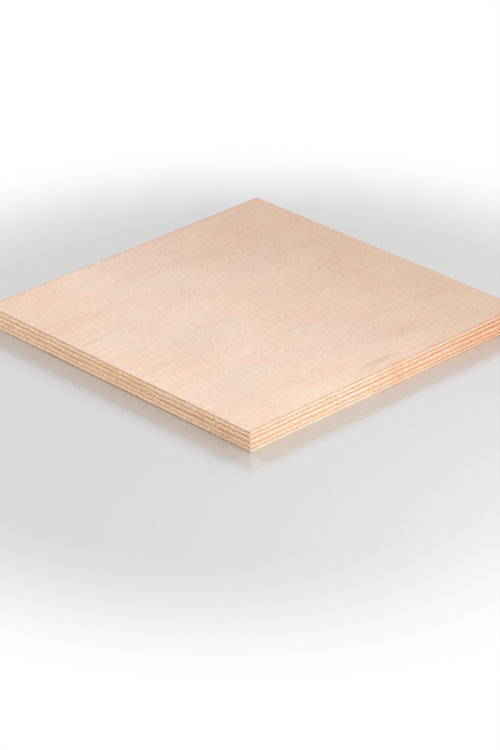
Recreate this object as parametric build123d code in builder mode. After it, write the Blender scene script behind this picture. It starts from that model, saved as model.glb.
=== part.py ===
from build123d import *
import os

# A square of 18 mm plywood, sawn from a larger sheet and lying flat, in millimetres.
# Nine rotary-cut veneers are glued face to face, each with its grain across that
# of its neighbours. X runs along the grain of the face veneer, Y across it, and
# the origin is the middle of the underside.

# The panel's outline, as sawn.
panel_length = 305.0  # X, along the face grain
panel_width = 305.0  # Y, across it
edge_easing = 0.4  # round left by the sanding block on every outer edge

# The veneers, as pressed and sanded.
face_veneer_thickness = 1.85  # the face and the back are alike, so the panel stays flat
crossband_thickness = 1.9  # grain along Y
long_band_thickness = 1.85  # grain along X, as in the face
centre_ply_thickness = 2.5  # grain along X, and the thickest of the nine

# The lay-up from the underside to the face. A number counts plies from the face.
lay_up = [
    ("back_veneer", face_veneer_thickness),
    ("crossband_8", crossband_thickness),
    ("long_band_7", long_band_thickness),
    ("crossband_6", crossband_thickness),
    ("centre_ply_5", centre_ply_thickness),
    ("crossband_4", crossband_thickness),
    ("long_band_3", long_band_thickness),
    ("crossband_2", crossband_thickness),
    ("face_veneer", face_veneer_thickness),
]
panel_thickness = sum(thickness for name, thickness in lay_up)

os.makedirs("parts", exist_ok=True)

# The panel as a whole once it is pressed, sawn square and eased. All nine veneers
# end flush on its four sawn sides.
with BuildPart() as sawn_panel:
    with BuildSketch():
        Rectangle(panel_length, panel_width)
    extrude(amount=panel_thickness)
    fillet(sawn_panel.edges(), edge_easing)

# Each veneer is the layer of that panel between two glue lines, so it seats on the
# one below over its whole face, and the outer two carry the eased arrises.
glue_line = 0.0
for name, thickness in lay_up:
    with BuildPart() as veneer:
        add(sawn_panel.part)
        with BuildSketch(Plane.XY.offset(glue_line)):
            Rectangle(panel_length, panel_width)
        extrude(amount=thickness, mode=Mode.INTERSECT)
    veneer.part.label = name
    export_step(veneer.part, f"parts/{name}.step")
    glue_line += thickness
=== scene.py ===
import math

import bmesh
import bpy
from mathutils import Matrix, Vector


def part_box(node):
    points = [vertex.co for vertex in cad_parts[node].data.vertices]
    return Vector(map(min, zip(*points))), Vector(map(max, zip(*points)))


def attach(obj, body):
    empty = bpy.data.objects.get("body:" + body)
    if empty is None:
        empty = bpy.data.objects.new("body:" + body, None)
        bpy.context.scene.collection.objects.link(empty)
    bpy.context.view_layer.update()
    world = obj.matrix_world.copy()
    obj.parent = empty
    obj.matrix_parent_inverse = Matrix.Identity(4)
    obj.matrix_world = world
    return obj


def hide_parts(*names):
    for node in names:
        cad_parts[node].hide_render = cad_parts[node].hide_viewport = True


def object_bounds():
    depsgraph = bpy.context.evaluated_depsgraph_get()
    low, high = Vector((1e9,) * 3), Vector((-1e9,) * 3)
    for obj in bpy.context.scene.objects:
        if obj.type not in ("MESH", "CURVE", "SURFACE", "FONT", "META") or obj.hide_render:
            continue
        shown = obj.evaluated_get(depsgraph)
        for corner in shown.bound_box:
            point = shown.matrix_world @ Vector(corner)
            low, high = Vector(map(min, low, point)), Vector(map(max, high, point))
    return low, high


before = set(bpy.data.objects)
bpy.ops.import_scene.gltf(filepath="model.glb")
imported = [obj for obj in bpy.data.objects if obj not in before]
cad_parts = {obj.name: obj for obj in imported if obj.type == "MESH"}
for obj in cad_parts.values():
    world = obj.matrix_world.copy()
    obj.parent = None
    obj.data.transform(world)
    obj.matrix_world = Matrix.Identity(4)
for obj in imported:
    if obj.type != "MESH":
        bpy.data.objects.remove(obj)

cad_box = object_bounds()

# The camera. It looks down on the panel from in front of one corner, with a long lens,
# as the photograph does. The near corner of the face is set where the photograph has it.
photo_width, photo_height = 500, 750  # pixels
near_corner_in_photo = (250.2, 432.43)  # pixels from the left and from the top
lens_in_photo = 3175.0  # pixels
near_corner_depth = 2.387  # metres, along the line of sight
turn, elevation, roll = math.radians(-43.99), math.radians(27.36), math.radians(-0.34)

level = Vector((math.cos(turn), math.sin(turn), 0))
back = Vector((level.y * math.cos(elevation), -level.x * math.cos(elevation), math.sin(elevation)))
upright = back.cross(level)
right = level * math.cos(roll) + upright * math.sin(roll)
up = upright * math.cos(roll) - level * math.sin(roll)
across = (near_corner_in_photo[0] - photo_width / 2) / lens_in_photo * near_corner_depth
down = (near_corner_in_photo[1] - photo_height / 2) / lens_in_photo * near_corner_depth
near_corner = Vector((cad_box[0][0], cad_box[0][1], cad_box[1][2]))

bpy.ops.object.camera_add()
camera = bpy.context.object
camera.name = "camera"
camera.rotation_euler = Matrix((right, up, back)).transposed().to_euler()
camera.location = near_corner + back * near_corner_depth - right * across + up * down
camera.data.sensor_width = 36
camera.data.lens = lens_in_photo / photo_height * camera.data.sensor_width
camera.data.clip_end = 50
bpy.context.scene.camera = camera

# The face veneer. A sheet peeled from a turning log, glued down with its grain along X,
# sanded, and sawn off flush with the rest of the panel. The sanding block has rounded its
# upper arris, and the saw has torn a few fibres out of it where it crossed the grain.
edge_easing = 0.0004  # the panel's rounded corners and arrises
point_spacing = 0.0008  # of the points along a sawn side
rim_width = 0.0016  # of the ring of narrow faces round each broad face
side_reach = 0.0008  # points this near to a sawn side belong to it
half_length, half_width, thickness = cad_box[1]


def select_long_edges(veneer, shortest):
    """In edit mode, selects the edges longer than this, and nothing else."""
    bpy.ops.mesh.select_mode(type="EDGE")
    bpy.ops.mesh.select_all(action="DESELECT")
    shape = bmesh.from_edit_mesh(veneer.data)
    for edge in shape.edges:
        edge.select = edge.calc_length() > shortest
    shape.select_flush_mode()
    bmesh.update_edit_mesh(veneer.data)


def lay_veneer(node, rings):
    """A veneer raised ring by ring from its underside, in place of its plain CAD node. Each
    ring is an inset from the sawn sides and a height."""
    bpy.ops.object.select_all(action="DESELECT")
    bpy.ops.mesh.primitive_plane_add(size=1, location=(0, 0, rings[0][1]))
    veneer = bpy.context.object
    veneer.name = veneer.data.name = node + "_sheet"
    bpy.ops.transform.resize(value=(2 * half_length, 2 * half_width, 1))
    bpy.ops.object.transform_apply(location=True, rotation=True, scale=True)

    bpy.ops.object.mode_set(mode="EDIT")
    bpy.ops.mesh.select_all(action="SELECT")
    bpy.ops.mesh.bevel(offset=edge_easing, segments=3, affect="VERTICES")
    bpy.ops.mesh.select_all(action="SELECT")
    bpy.ops.mesh.delete(type="ONLY_FACE")
    select_long_edges(veneer, half_width)
    for cuts in (round(half_length / point_spacing / 2) - 1, 3):
        bpy.ops.mesh.subdivide(number_cuts=cuts)
    bpy.ops.mesh.select_all(action="SELECT")
    bpy.ops.mesh.edge_face_add()

    reach_x, reach_y, height = half_length, half_width, rings[0][1]
    for step, (inset, new_height) in enumerate(rings):
        if step:
            rise = (0, 0, new_height - height)
            bpy.ops.mesh.extrude_region_move(TRANSFORM_OT_translate={"value": rise})
        narrower = ((half_length - inset) / reach_x, (half_width - inset) / reach_y, 1)
        bpy.ops.transform.resize(value=narrower, center_override=(0, 0, 0))
        reach_x, reach_y, height = half_length - inset, half_width - inset, new_height
    bpy.ops.mesh.select_all(action="SELECT")
    bpy.ops.mesh.normals_make_consistent(inside=False)
    bpy.ops.object.mode_set(mode="OBJECT")
    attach(veneer, "root")
    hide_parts(node)
    return veneer


def rings_between(low, high, top_eased=False, bottom_eased=False):
    """The rings of a veneer's outline, from the inside of its underside, round its sawn
    sides, to the inside of its face."""
    sides = [low + (high - low) * share for share in (0, 1 / 3, 2 / 3, 1)]
    rings = [(0, height) for height in sides]
    curve = []
    for degrees in (0, 30, 60, 90):
        a = math.radians(degrees)
        curve.append((edge_easing * (1 - math.cos(a)), edge_easing * (1 - math.sin(a))))
    if top_eased:
        rings[-1:] = [(inset, high - drop) for inset, drop in curve]
    if bottom_eased:
        rings[:1] = [(inset, low + drop) for inset, drop in reversed(curve)]
    return [(rim_width, rings[0][1]), *rings, (rim_width, rings[-1][1])]


def weigh(veneer, name, weight_at):
    """A vertex group in which each point has the weight that weight_at gives for its place."""
    group = veneer.vertex_groups.new(name=name)
    for point in veneer.data.vertices:
        weight = weight_at(point.co)
        if weight > 0:
            group.add([point.index], weight, "REPLACE")


def work(veneer, texture, group, direction, depth, middle=0.0):
    """Moves the points of one vertex group along one axis, by a noise texture or evenly."""
    modifier = veneer.modifiers.new(group, "DISPLACE")
    modifier.texture = texture
    modifier.texture_coords = "LOCAL"
    modifier.vertex_group = group
    modifier.direction = direction
    modifier.strength = depth
    modifier.mid_level = middle
    bpy.context.view_layer.objects.active = veneer
    bpy.ops.object.modifier_apply(modifier=modifier.name)


def clouds(name, size, octaves):
    texture = bpy.data.textures.new(name, "CLOUDS")
    texture.noise_scale = size
    texture.noise_depth = octaves
    return texture


glue_line_wave = clouds("glue_line_wave", 0.014, 2)
end_grain_fuzz = clouds("end_grain_fuzz", 0.0011, 2)
side_grain_ripple = clouds("side_grain_ripple", 0.006, 1)
torn_fibres = clouds("torn_fibres", 0.004, 2)
torn_fibres.use_color_ramp = True
torn_fibres.color_ramp.elements[0].position = 0.55
torn_fibres.color_ramp.elements[1].position = 0.75


def wave_glue_lines(veneer, heights):
    """Lets the glue lines at these heights wander a little up and down on the sawn sides,
    and marks them for the finish to find."""
    wave_depth, line_reach = 0.0012, 0.0001

    def on_line(co):
        out_by = max(abs(co.x) - half_length, abs(co.y) - half_width)
        off_by = min(abs(co.z - height) for height in heights)
        return float(out_by > -side_reach and off_by < line_reach)

    weigh(veneer, "glue_line", on_line)
    mark = veneer.data.attributes.new("glue", "FLOAT", "POINT")
    for point in veneer.data.vertices:
        mark.data[point.index].value = on_line(point.co)
    work(veneer, glue_line_wave, "glue_line", "Z", wave_depth, 0.5)


def sag(veneer):
    """Lets the veneers lie lower on the side that faces -X, as the press left them: more and
    more down to the centre ply, and then all by the same, so that the back is thin there. On
    the side that faces -Y it is less, and begins only in the fourth veneer and away from -X."""
    sag_depth = 0.0006
    corner_fade = 0.006  # it dies out this near to a corner
    x_side_growth = 0.010  # below the face, on the side that faces -X
    x_side_fade = 0.0014  # above the back
    y_side_share = 0.65  # of the sag, on the side that faces -Y
    y_side_start, y_side_growth = 0.006, 0.006  # below the face
    y_side_fade = 0.0045  # above the back
    y_side_onset = 0.2  # away from the corner by -X

    def share(co):
        depth, above_back = thickness - co.z, co.z - edge_easing
        if co.x < side_reach - half_length:
            side_share = 1
            in_height = min(depth / x_side_growth, 1, above_back / x_side_fade)
            along = (half_width - abs(co.y)) / corner_fade
        elif co.y < side_reach - half_width:
            side_share = y_side_share
            in_height = min((depth - y_side_start) / y_side_growth, 1, above_back / y_side_fade)
            along = min((co.x + half_length) / y_side_onset, (half_length - co.x) / corner_fade)
        else:
            return 0.0
        return side_share * max(0, in_height) * max(0, min(along, 1))

    weigh(veneer, "sag", share)
    work(veneer, None, "sag", "Z", -sag_depth)


def saw_sides(veneer, grain_axis):
    """The relief of the four sawn sides: rough where the saw cut across the grain, and
    nearly smooth where it ran along it."""
    skin, fuzz_depth, ripple_depth = 0.00002, 0.00012, 0.00006
    for axis, reach in ((0, half_length), (1, half_width)):
        for sign, side in ((-1, "low"), (1, "high")):
            group = "XY"[axis] + "_" + side
            weigh(veneer, group, lambda co: float(sign * co[axis] > reach - skin))
            if axis == grain_axis:
                work(veneer, end_grain_fuzz, group, "XY"[axis], -sign * fuzz_depth)
            else:
                work(veneer, side_grain_ripple, group, "XY"[axis], -sign * ripple_depth)


def smooth(veneer):
    bpy.ops.object.select_all(action="DESELECT")
    veneer.select_set(True)
    bpy.context.view_layer.objects.active = veneer
    bpy.ops.object.shade_smooth_by_angle(angle=math.radians(35))


def add_node(tree, kind, inputs=None, **settings):
    """A shader node. Each of its inputs is a value to set or another node's output to link."""
    made = tree.nodes.new("ShaderNode" + kind)
    for key, value in settings.items():
        setattr(made, key, value)
    for key, value in (inputs or {}).items():
        if isinstance(value, bpy.types.NodeSocket):
            tree.links.new(value, made.inputs[key])
        else:
            made.inputs[key].default_value = value
    return made


def maths(tree, operation, first, second=0.0, third=0.0, clamp=False):
    inputs = {0: first, 1: second, 2: third}
    return add_node(tree, "Math", inputs, operation=operation, use_clamp=clamp).outputs[0]


def new_group(name, inputs, outputs):
    """An empty shader node group, with its input and output nodes."""
    group = bpy.data.node_groups.new(name, "ShaderNodeTree")
    for sockets, way in ((inputs, "INPUT"), (outputs, "OUTPUT")):
        for socket, kind in sockets.items():
            group.interface.new_socket(name=socket, in_out=way, socket_type="NodeSocket" + kind)
    return group, group.nodes.new("NodeGroupInput"), group.nodes.new("NodeGroupOutput")


def put_out(group, go_out, values):
    """Links each value to the group output of its name."""
    for socket, value in values.items():
        group.links.new(value, go_out.inputs[socket])


def place_group(tree, group, inputs):
    return add_node(tree, "Group", inputs, node_tree=group).outputs


def noise(tree, place, per_metre, detail=2.0, distortion=0.0):
    """Noise with so many features to the metre along each axis."""
    stretched = add_node(tree, "Mapping", {"Vector": place, "Scale": per_metre}).outputs[0]
    inputs = {"Vector": stretched, "Scale": 1, "Detail": detail, "Distortion": distortion}
    return add_node(tree, "TexNoise", inputs).outputs["Fac"]


def ramp(tree, value, low, high, to_low=0.0, to_high=1.0):
    """A smooth step from one value to another."""
    limits = {"From Min": low, "From Max": high, "To Min": to_low, "To Max": to_high}
    step = add_node(tree, "MapRange", {"Value": value, **limits}, interpolation_type="SMOOTHSTEP")
    return step.outputs["Result"]


def blend_values(tree, *weighted):
    """0.5 plus each value's distance from 0.5 times its weight, kept within 0 and 1."""
    total = 0.5
    for value, weight in weighted:
        part = maths(tree, "MULTIPLY_ADD", value, weight, -0.5 * weight)
        total = maths(tree, "ADD", part, total)
    return maths(tree, "ADD", total, 0, clamp=True)


def mix_colours(tree, factor, first, second, how="MIX"):
    colour_a, colour_b, colour_out = 6, 7, 2  # of the sockets of a mix node
    inputs = {0: factor, colour_a: first, colour_b: second}
    made = add_node(tree, "Mix", inputs, data_type="RGBA", blend_type=how)
    return made.outputs[colour_out]


def stain(tree, mask, colour, tint):
    """A colour multiplied by a tint, as far as the mask has it."""
    return mix_colours(tree, mask, colour, (*tint, 1), "MULTIPLY")


# Grain of a peeled veneer on its broad face, with the grain along X: broad soft clouds of
# tone and of hue, a fine mottle, growth lines that wander with the clouds, fibres and
# short dark pores.
peeled_grain, come_in, go_out = new_group(
    "peeled_grain",
    {"Vector": "Vector"},
    dict.fromkeys(("Clouds", "Blush", "Greying", "Mottle", "Lines", "Fibres", "Pores"), "Float"),
)
place = come_in.outputs["Vector"]
soft_clouds = noise(peeled_grain, place, (11, 22, 22), 3, 0.4)
sideways = maths(peeled_grain, "MULTIPLY", soft_clouds, 0.02)
wander = add_node(peeled_grain, "CombineXYZ", {"Y": sideways}).outputs[0]
wandering = add_node(peeled_grain, "VectorMath", {0: place, 1: wander}, operation="ADD").outputs[0]
blush_noise = noise(peeled_grain, place, (16, 34, 51), 2, 0.5)
greying_noise = noise(peeled_grain, place, (13, 20, 83), 2, 0.3)
pore_noise = noise(peeled_grain, wandering, (300, 3600, 3600), 0)
put_out(
    peeled_grain,
    go_out,
    {
        "Clouds": ramp(peeled_grain, soft_clouds, 0.3, 0.7),
        "Blush": ramp(peeled_grain, blush_noise, 0.35, 0.65),
        "Greying": ramp(peeled_grain, greying_noise, 0.4, 0.7),
        "Mottle": noise(peeled_grain, place, (230, 340, 340), 4, 0.2),
        "Lines": noise(peeled_grain, wandering, (14, 210, 90), 3),
        "Fibres": noise(peeled_grain, wandering, (120, 1500, 1500), 2),
        "Pores": ramp(peeled_grain, pore_noise, 0.64, 0.74),
    },
)

# A sawn side: which way the veneer was cut there, and the streaks and marks on it. With 121
# and 259 features to the metre, the panel's ends fall between two of the planes on which
# such noise is nearly flat.
sawn_side, come_in, go_out = new_group(
    "sawn_side",
    {"Vector": "Vector", "Normal": "Vector"},
    dict.fromkeys(
        ("End grain", "Broad face", "Patches", "Streaks", "Speckle", "Flecks", "Saw marks"), "Float"
    ),
)
turned = add_node(sawn_side, "SeparateXYZ", {0: come_in.outputs["Normal"]})
to_end = maths(sawn_side, "ABSOLUTE", turned.outputs["X"])
to_broad = maths(sawn_side, "ABSOLUTE", turned.outputs["Z"])
to_broad = maths(sawn_side, "MULTIPLY_ADD", to_end, -0.5, to_broad)  # fibre ends keep their arris
place = come_in.outputs["Vector"]
saw_place = add_node(sawn_side, "TexCoord").outputs["Object"]
put_out(
    sawn_side,
    go_out,
    {
        "End grain": ramp(sawn_side, to_end, 0.55, 0.85),
        "Broad face": ramp(sawn_side, to_broad, 0.55, 0.85),
        "Patches": ramp(sawn_side, noise(sawn_side, place, (45, 70, 350), 2), 0.3, 0.7),
        "Streaks": ramp(sawn_side, noise(sawn_side, place, (121, 520, 900), 2, 0.3), 0.34, 0.66),
        "Speckle": ramp(sawn_side, noise(sawn_side, place, (259, 800, 1300), 1), 0.36, 0.64),
        "Flecks": ramp(sawn_side, noise(sawn_side, place, (350, 480, 900), 1), 0.60, 0.72),
        "Saw marks": noise(sawn_side, saw_place, (700, 700, 25), 2),
    },
)

# Painted shade: the panel grows darker and redder towards its +X end, unevenly, where the light
# falls off.
painted_falloff, come_in, go_out = new_group("painted_falloff", {"Vector": "Vector"}, {"Falloff shade": "Float"})
along_x = add_node(painted_falloff, "SeparateXYZ", {0: come_in.outputs["Vector"]}).outputs["X"]
uneven = noise(painted_falloff, come_in.outputs["Vector"], (12, 12, 260), 2)
towards_end = maths(painted_falloff, "MULTIPLY_ADD", uneven, 0.10, along_x)
put_out(painted_falloff, go_out, {"Falloff shade": ramp(painted_falloff, towards_end, -0.02, 0.19)})

# A mark in the wood: full at its centre, gone at its reach, and uneven in outline.
mark_in_wood, come_in, go_out = new_group(
    "mark_in_wood", {"Vector": "Vector", "Centre": "Vector", "Reach": "Vector"}, {"Mark": "Float"}
)
away = come_in.outputs["Vector"]
for operation, socket in (("SUBTRACT", "Centre"), ("DIVIDE", "Reach")):
    inputs = {0: away, 1: come_in.outputs[socket]}
    away = add_node(mark_in_wood, "VectorMath", inputs, operation=operation).outputs[0]
far = add_node(mark_in_wood, "VectorMath", {0: away}, operation="LENGTH").outputs["Value"]
uneven = noise(mark_in_wood, away, (2.3, 2.3, 2.3), 3)
ragged = maths(mark_in_wood, "MULTIPLY_ADD", uneven, 0.9, far)
put_out(mark_in_wood, go_out, {"Mark": ramp(mark_in_wood, ragged, 1.45, 0.65)})

# Wear along the panel's outer arrises, where handling has rubbed them. There is less of it
# where an arris crosses the grain of the face.
arris_wear, come_in, go_out = new_group(
    "arris_wear", {"Vector": "Vector", "Width": "Float"}, {"Wear": "Float"}
)
at = add_node(arris_wear, "SeparateXYZ", {0: come_in.outputs["Vector"]})
uneven = noise(arris_wear, come_in.outputs["Vector"], (130, 130, 130), 2)
width = maths(arris_wear, "MULTIPLY", come_in.outputs["Width"], uneven)
half_size = (half_length, half_width, thickness / 2)
nearness = []
for axis, middle, reach in zip("XYZ", (0, 0, thickness / 2), half_size):
    out_by = maths(arris_wear, "ABSOLUTE", maths(arris_wear, "SUBTRACT", at.outputs[axis], middle))
    gap = maths(arris_wear, "SUBTRACT", reach, out_by)
    share = maths(arris_wear, "DIVIDE", gap, width)
    nearness.append(maths(arris_wear, "SUBTRACT", 1, share, clamp=True))
x, y, z = nearness
x = maths(arris_wear, "MULTIPLY", x, 0.2)
pairs = [maths(arris_wear, "MULTIPLY", *pair) for pair in ((x, y), (y, z), (x, z))]
worn = maths(arris_wear, "MAXIMUM", maths(arris_wear, "MAXIMUM", pairs[0], pairs[1]), pairs[2])
put_out(arris_wear, go_out, {"Wear": ramp(arris_wear, worn, 0.0, 0.8)})


def tinted(tones, tint):
    """Both tones of a pair, by a share of red, green and blue."""
    return [(*(c * share for c, share in zip(tone, tint)), 1) for tone in tones]


def veneer_finish(name, grain_turn, shift, broad, side, end, marks=()):
    """A bare veneer. broad, side and end are the light and the dark tone of its broad face,
    of a side sawn along the grain and of one sawn across it. Each of the marks is a centre,
    a reach and a colour."""
    finish = bpy.data.materials.new(name)
    finish.use_nodes = True
    tree = finish.node_tree
    surface = tree.nodes["Principled BSDF"]
    here = add_node(tree, "TexCoord")
    place, turned = here.outputs["Object"], {"Rotation": (0, 0, grain_turn)}
    along = add_node(tree, "Mapping", {"Vector": place, "Location": shift, **turned}).outputs[0]
    inputs = {"Vector": here.outputs["Normal"], **turned}
    facing = add_node(tree, "Mapping", inputs, vector_type="NORMAL").outputs[0]
    grain = place_group(tree, peeled_grain, {"Vector": along})
    cut = place_group(tree, sawn_side, {"Vector": along, "Normal": facing})
    # painted shade: darker and redder towards +X, where the light falls off, on the face and the
    # sawn sides below
    red = place_group(tree, painted_falloff, {"Vector": place})["Falloff shade"]
    wear = place_group(tree, arris_wear, {"Vector": place, "Width": 0.006})["Wear"]

    broad_tone = blend_values(
        tree,
        (grain["Clouds"], 0.3),
        (grain["Mottle"], 2.4),
        (grain["Lines"], 0.9),
        (grain["Fibres"], 0.8),
        (grain["Pores"], -0.4),
    )
    broad_colour = mix_colours(tree, broad_tone, broad[1], broad[0])
    broad_colour = stain(tree, grain["Blush"], broad_colour, (1.0, 0.955, 0.965))
    broad_colour = stain(tree, grain["Greying"], broad_colour, (0.975, 0.985, 1.0))
    broad_colour = stain(tree, red, broad_colour, (0.82, 0.775, 0.74))

    cut_tone = blend_values(
        tree,
        (cut["Patches"], 0.4),
        (cut["Streaks"], 0.45),
        (cut["Speckle"], 1.35),
        (cut["Saw marks"], 0.5),
    )
    side_colour = mix_colours(tree, cut_tone, side[1], side[0])
    # painted shade of the light falling off towards +X, on the sawn sides and the end grain
    side_colour = stain(tree, red, side_colour, (1.0, 0.79, 0.70))
    end_colour = mix_colours(tree, cut_tone, end[1], end[0])
    end_colour = stain(tree, red, end_colour, (0.88, 0.70, 0.62))
    colour = mix_colours(tree, cut["End grain"], side_colour, end_colour)
    fleck_share = maths(tree, "MULTIPLY_ADD", cut["End grain"], 0.6, 0.4)
    flecks = maths(tree, "MULTIPLY", cut["Flecks"], fleck_share)
    colour = stain(tree, flecks, colour, (0.86, 0.74, 0.66))
    stored = {"attribute_type": "GEOMETRY", "attribute_name": "glue"}
    glue = ramp(tree, add_node(tree, "Attribute", None, **stored).outputs["Fac"], 0.75, 1.0)
    colour = stain(tree, glue, colour, (0.90, 0.80, 0.72))

    colour = mix_colours(tree, cut["Broad face"], colour, broad_colour)
    rubbed = maths(tree, "MULTIPLY", wear, cut["Broad face"])
    colour = stain(tree, rubbed, colour, (0.93, 0.76, 0.69))
    for centre, reach, tint in marks:
        inputs = {"Vector": place, "Centre": centre, "Reach": reach}
        colour = stain(tree, place_group(tree, mark_in_wood, inputs)["Mark"], colour, tint)
    tree.links.new(colour, surface.inputs["Base Color"])
    tree.links.new(ramp(tree, cut_tone, 0, 1, 0.7, 0.86), surface.inputs["Roughness"])

    relief = blend_values(
        tree, (cut["Speckle"], 0.6), (cut["Saw marks"], 0.8), (grain["Fibres"], 0.4)
    )
    bump = add_node(tree, "Bump", {"Height": relief, "Strength": 0.35, "Distance": 0.0001})
    tree.links.new(bump.outputs[0], surface.inputs["Normal"])
    surface.inputs["Specular IOR Level"].default_value = 0.2
    return finish


low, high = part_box("face_veneer")
face = lay_veneer("face_veneer", rings_between(low.z, high.z, top_eased=True))
wave_glue_lines(face, (low.z,))
sag(face)
saw_sides(face, 0)

tear_depth, tear_reach = 0.0003, 0.0008  # into the wood, and below the face
for side, sign in (("low", 1), ("high", -1)):

    def torn(co):
        at_end = float(sign * co.x < side_reach - half_length)
        return at_end * max(0, 1 - (high.z - co.z) / tear_reach)

    weigh(face, "arris_" + side, torn)
    work(face, torn_fibres, "arris_" + side, "X", sign * tear_depth)
    work(face, torn_fibres, "arris_" + side, "Z", -tear_depth / 2)

rubbed_depth, rubbed_reach = 0.0004, 0.0010  # off the arris that faces -X, and below the face
near_fade, far_fade = 0.1, 0.01  # along the arris, from its near and from its far corner


def rubbed(co):
    if co.x >= side_reach - half_length:
        return 0.0
    along = min(1, (co.y + half_width) / near_fade, (half_width - co.y) / far_fade)
    return max(0, 1 - (high.z - co.z) / rubbed_reach) * along


weigh(face, "rubbed", rubbed)
work(face, None, "rubbed", "X", rubbed_depth)
smooth(face)

face_tones = ((0.990, 0.778, 0.622), (0.893, 0.664, 0.520))
long_side_tones = ((0.920, 0.860, 0.690), (0.850, 0.650, 0.430))
long_end_tones = ((0.976, 0.688, 0.492), (0.704, 0.378, 0.228))
saw_scorch = ((0.0085, -half_width, 0.009), (0.013, 0.01, 0.04), (1.0, 0.90, 0.83))
face_marks = (
    saw_scorch,  # where the saw paused
    # a grey mineral streak and its paler tail
    ((0.004, -0.1385, high.z), (0.021, 0.0054, 0.01), (0.885, 0.875, 0.85)),
    ((-0.013, -0.1385, high.z), (0.015, 0.0042, 0.01), (0.95, 0.96, 0.99)),
    # streaks that are slightly dull, and then areas that are lighter or pinker than the rest
    ((0.056, -0.116, high.z), (0.022, 0.007, 0.01), (0.95, 0.94, 0.93)),
    ((-0.130, -0.0255, high.z), (0.036, 0.0042, 0.01), (0.965, 0.93, 0.925)),
    ((-0.134, 0.044, high.z), (0.020, 0.0024, 0.01), (0.95, 0.92, 0.92)),
    ((-0.118, 0.024, high.z), (0.014, 0.026, 0.01), (0.98, 0.99, 1.03)),
    ((-0.140, -0.030, high.z), (0.050, 0.110, 0.01), (1.05, 1.035, 1.025)),
    ((-0.130, 0.120, high.z), (0.060, 0.080, 0.01), (1.01, 0.965, 0.935)),
    ((-half_length, 0.125, 0.0158), (0.01, 0.050, 0.0016), (1.08, 1.12, 1.15)),
    ((-0.082, -0.136, high.z), (0.030, 0.030, 0.01), (1.03, 1.03, 1.02)),
    ((-0.024, -0.134, high.z), (0.040, 0.030, 0.01), (0.985, 0.965, 0.955)),
)
face.data.materials.append(
    veneer_finish(
        "bare_face_veneer",
        0,
        (0, 0, 0),
        tinted(face_tones, (1, 1, 1)),
        tinted(long_side_tones, (0.995, 1.015, 1.045)),
        tinted(long_end_tones, (0.878, 0.876, 0.851)),
        face_marks,
    )
)

# The crossbands. Four veneers with their grain along Y, square to that of their
# neighbours. Their ends show dark on the sides that face along Y.
cross_face_tones = ((0.90, 0.63, 0.45), (0.82, 0.55, 0.38))
cross_side_tones = ((0.968, 0.743, 0.555), (0.812, 0.498, 0.318))
cross_end_tones = ((0.926, 0.624, 0.446), (0.774, 0.436, 0.284))
crossbands = {  # the tint of the sawn side and of the end grain of each, and its marks
    "crossband_2": (
        (1.036, 1.091, 1.124),
        (0.962, 0.952, 0.940),
        (((0.135, -half_width, 0.0147), (0.060, 0.01, 0.01), (0.96, 0.93, 0.92)),),
    ),
    "crossband_4": (
        (1.027, 1.047, 1.053),
        (0.947, 0.877, 0.858),
        (
            # painted shade of a gap in the core: a dark mark with no hollow under it
            ((-0.1105, -half_width, 0.01185), (0.0024, 0.002, 0.0012), (0.62, 0.50, 0.42)),
            ((0.135, -half_width, 0.0110), (0.060, 0.01, 0.01), (0.95, 0.93, 0.91)),
            ((-half_length, 0.100, 0.0105), (0.01, 0.090, 0.01), (1.03, 1.04, 1.05)),
        ),
    ),
    "crossband_6": (
        (1.024, 1.037, 1.049),
        (1.009, 0.965, 0.975),
        (
            ((-half_length, -0.125, 0.0056), (0.01, 0.055, 0.01), (0.97, 0.96, 0.95)),
            ((0.100, -half_width, 0.0065), (0.090, 0.01, 0.01), (1.02, 1.07, 1.09)),
        ),
    ),
    "crossband_8": (
        (1.031, 1.082, 1.087),
        (1.004, 1.014, 1.017),
        (
            # painted shade of a gap in the core: a dark mark with no hollow under it
            ((-0.1484, -half_width, 0.0025), (0.0015, 0.002, 0.0009), (0.66, 0.54, 0.46)),
            ((-half_length, -0.130, 0.0019), (0.01, 0.050, 0.01), (0.88, 0.86, 0.82)),
        ),
    ),
}
for number, (node, (side_tint, end_tint, marks)) in enumerate(crossbands.items()):
    low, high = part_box(node)
    band = lay_veneer(node, rings_between(low.z, high.z))
    wave_glue_lines(band, (low.z, high.z))
    sag(band)
    saw_sides(band, 1)
    smooth(band)
    band.data.materials.append(
        veneer_finish(
            "bare_" + node,
            math.radians(90),
            (0.13 * number, 0.07 * number, 0.3),
            tinted(cross_face_tones, (1, 1, 1)),
            tinted(cross_side_tones, side_tint),
            tinted(cross_end_tones, end_tint),
            marks,
        )
    )

# The long bands and the centre ply. Three veneers with their grain along X, like the face.
long_bands = {  # the tint of the sawn side and of the end grain of each, and its marks
    "long_band_3": (
        (0.988, 0.971, 0.961),
        (0.876, 0.870, 0.851),
        (saw_scorch, ((0.120, -half_width, 0.0128), (0.070, 0.01, 0.01), (1.03, 1.05, 1.07))),
    ),
    "centre_ply_5": (
        (1.0, 0.985, 1.0),
        (0.923, 0.897, 0.852),
        (
            saw_scorch,
            # redder in its lower half
            ((0, -half_width, 0.0077), (0.4, 0.01, 0.0010), (1.0, 0.92, 0.88)),
            ((-half_length, 0, 0.0072), (0.01, 0.4, 0.0010), (0.95, 0.93, 0.92)),
            ((-half_length, -0.110, 0.0080), (0.01, 0.08, 0.01), (0.93, 0.89, 0.85)),
        ),
    ),
    "long_band_7": (
        (0.989, 0.944, 0.949),
        (0.909, 0.951, 0.944),
        (saw_scorch, ((0.130, -half_width, 0.0047), (0.060, 0.01, 0.01), (1.0, 0.94, 0.92))),
    ),
}
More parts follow.
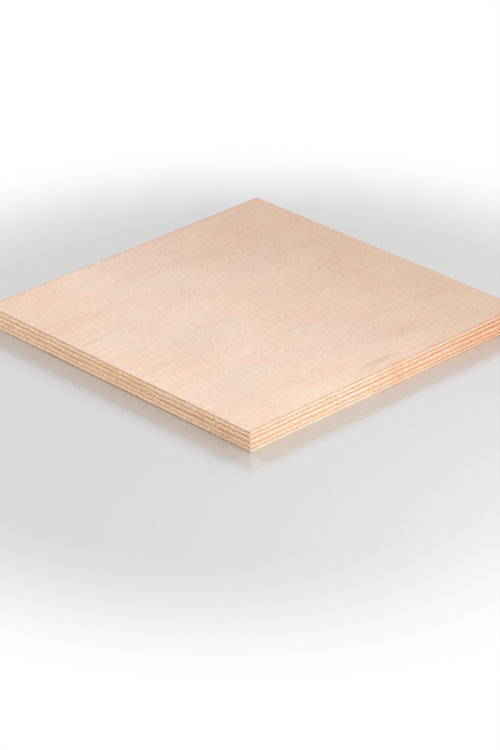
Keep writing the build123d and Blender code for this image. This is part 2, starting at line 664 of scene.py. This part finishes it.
for number, (node, (side_tint, end_tint, marks)) in enumerate(long_bands.items()):
    low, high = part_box(node)
    band = lay_veneer(node, rings_between(low.z, high.z))
    wave_glue_lines(band, (low.z, high.z))
    sag(band)
    saw_sides(band, 0)
    smooth(band)
    band.data.materials.append(
        veneer_finish(
            "bare_" + node,
            0,
            (0.1155 * number, 0.05 * number, 0.7),  # along X by whole features, for the ends
            tinted(face_tones, (0.96, 0.92, 0.85)),
            tinted(long_side_tones, side_tint),
            tinted(long_end_tones, end_tint),
            marks,
        )
    )

# The back veneer. A sheet like the face, with its worse side out, and the lower arris eased.
low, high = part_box("back_veneer")
back_sheet = lay_veneer("back_veneer", rings_between(low.z, high.z, bottom_eased=True))
wave_glue_lines(back_sheet, (high.z,))
sag(back_sheet)
saw_sides(back_sheet, 0)
smooth(back_sheet)
back_sheet.data.materials.append(
    veneer_finish(
        "bare_back_veneer",
        0,
        (0.37, 0.21, 0.5),
        tinted(face_tones, (0.98, 0.96, 0.93)),
        tinted(long_side_tones, (1.08, 1.08, 1.10)),
        tinted(long_end_tones, (0.86, 0.86, 0.87)),
        (
            saw_scorch,
            ((0.130, -half_width, 0.0010), (0.060, 0.01, 0.01), (1.0, 0.93, 0.91)),
            ((-half_length, 0.125, 0.0010), (0.01, 0.050, 0.01), (1.07, 1.09, 1.11)),
            # painted shade: a dark contact line along the lower arrises, where the panel meets the
            # floor
            ((0.16, -half_width, 0), (0.30, 0.0015, 0.0006), (0.42, 0.27, 0.18)),
            ((-half_length, 0, 0), (0.0015, 0.35, 0.0005), (0.60, 0.50, 0.42)),
            ((half_length, 0, 0), (0.0015, 0.35, 0.0005), (0.60, 0.50, 0.42)),
            ((0, half_width, 0), (0.35, 0.0015, 0.0005), (0.60, 0.50, 0.42)),
        ),
    )
)

# The floor: pale and glossy, so that the panel's sawn sides are mirrored in it. It lies a
# hair below the panel, and away from it goes over into plain white.
bpy.ops.object.select_all(action="DESELECT")
bpy.ops.mesh.primitive_plane_add(size=12, location=(0, 0, -0.00002))
floor = bpy.context.object
floor.name = "floor"
pale_gloss = bpy.data.materials.new("pale_gloss")
pale_gloss.use_nodes = True
tree = pale_gloss.node_tree
gloss = tree.nodes["Principled BSDF"]
gloss.inputs["Base Color"].default_value = (0.632, 0.634, 0.636, 1)
gloss.inputs["Roughness"].default_value = 0.2
gloss.inputs["IOR"].default_value = 3.0
white = add_node(tree, "Emission", {"Strength": 1.0})
place = add_node(tree, "TexCoord").outputs["Object"]
centred = add_node(tree, "Mapping", {"Vector": place, "Location": (0.06, 0.06, 0)}).outputs[0]
out_by = add_node(tree, "VectorMath", {0: centred}, operation="LENGTH").outputs["Value"]
seen = add_node(tree, "LightPath").outputs["Is Camera Ray"]
fade = maths(tree, "MULTIPLY", ramp(tree, out_by, 0.28, 0.46), seen)
over = add_node(tree, "MixShader", {0: fade, 1: gloss.outputs[0], 2: white.outputs[0]})
tree.links.new(over.outputs[0], tree.nodes["Material Output"].inputs["Surface"])
floor.data.materials.append(pale_gloss)

# The light: an even white room, and four soft lamps, two low in front and two high behind.
world = bpy.data.worlds.new("studio")
bpy.context.scene.world = world
world.use_nodes = True
room = world.node_tree.nodes["Background"]
room.inputs["Color"].default_value = (1, 1, 1, 1)
path = add_node(world.node_tree, "LightPath").outputs
seen = maths(world.node_tree, "MAXIMUM", path["Is Camera Ray"], path["Is Glossy Ray"])
seen = maths(world.node_tree, "MAXIMUM", seen, path["Is Transmission Ray"])
strength = add_node(world.node_tree, "MapRange", {"Value": seen, "To Min": 0.36, "To Max": 1.0})
world.node_tree.links.new(strength.outputs["Result"], room.inputs["Strength"])


def hang_lamp(name, offset, size, power):
    """A square soft lamp, hung at this offset from the near corner and aimed past it."""
    offset = Vector(offset)
    bpy.ops.object.light_add(type="AREA", location=near_corner + offset)
    lamp = bpy.context.object
    lamp.name = name
    lamp.rotation_euler = (offset - Vector((0.1, 0.1, 0))).to_track_quat("Z", "Y").to_euler()
    lamp.data.size = size
    lamp.data.energy = power


hang_lamp("front_lamp", (0.12, -0.60, 0.24), 0.3, 2.6)
hang_lamp("left_lamp", (-0.85, 0.30, 0.17), 0.35, 2.62)
hang_lamp("far_right_lamp", (2.85, 0.15, 1.62), 1.0, 37)
hang_lamp("far_left_lamp", (0.15, 2.70, 1.90), 1.0, 33)

bpy.context.scene.view_settings.view_transform = "Standard"
